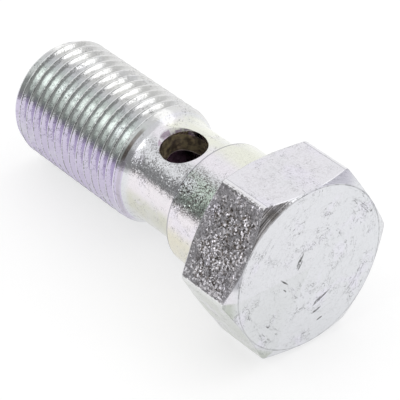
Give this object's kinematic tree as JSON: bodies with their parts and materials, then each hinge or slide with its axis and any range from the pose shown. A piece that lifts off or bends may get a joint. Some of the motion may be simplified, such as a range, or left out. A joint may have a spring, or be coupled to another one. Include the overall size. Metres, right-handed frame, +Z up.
{
  "type": "banjo bolt",
  "caption": "Hollow hexagon-head banjo bolt with a plain collar, a cross-drilled waist, a fine thread and a blind axial bore, lying on its side.",
  "frame": {"origin": "on the floor, under the middle of the bolt's bounding box", "axes": "+Z up, +X along the floor from the tip towards the head; the bolt's own axis lies in the XZ plane and dips 4.43 degrees towards the tip, as it rests on one flat and on the end of its thread"},
  "size_m": [0.0502, 0.0252, 0.0226],
  "materials": {
    "zinc_plate": "zinc plated with a clear iridescent passivation"
  },
  "bodies": {
    "root": {"banjo_bolt": "zinc_plate"}
  },
  "joints": []
}
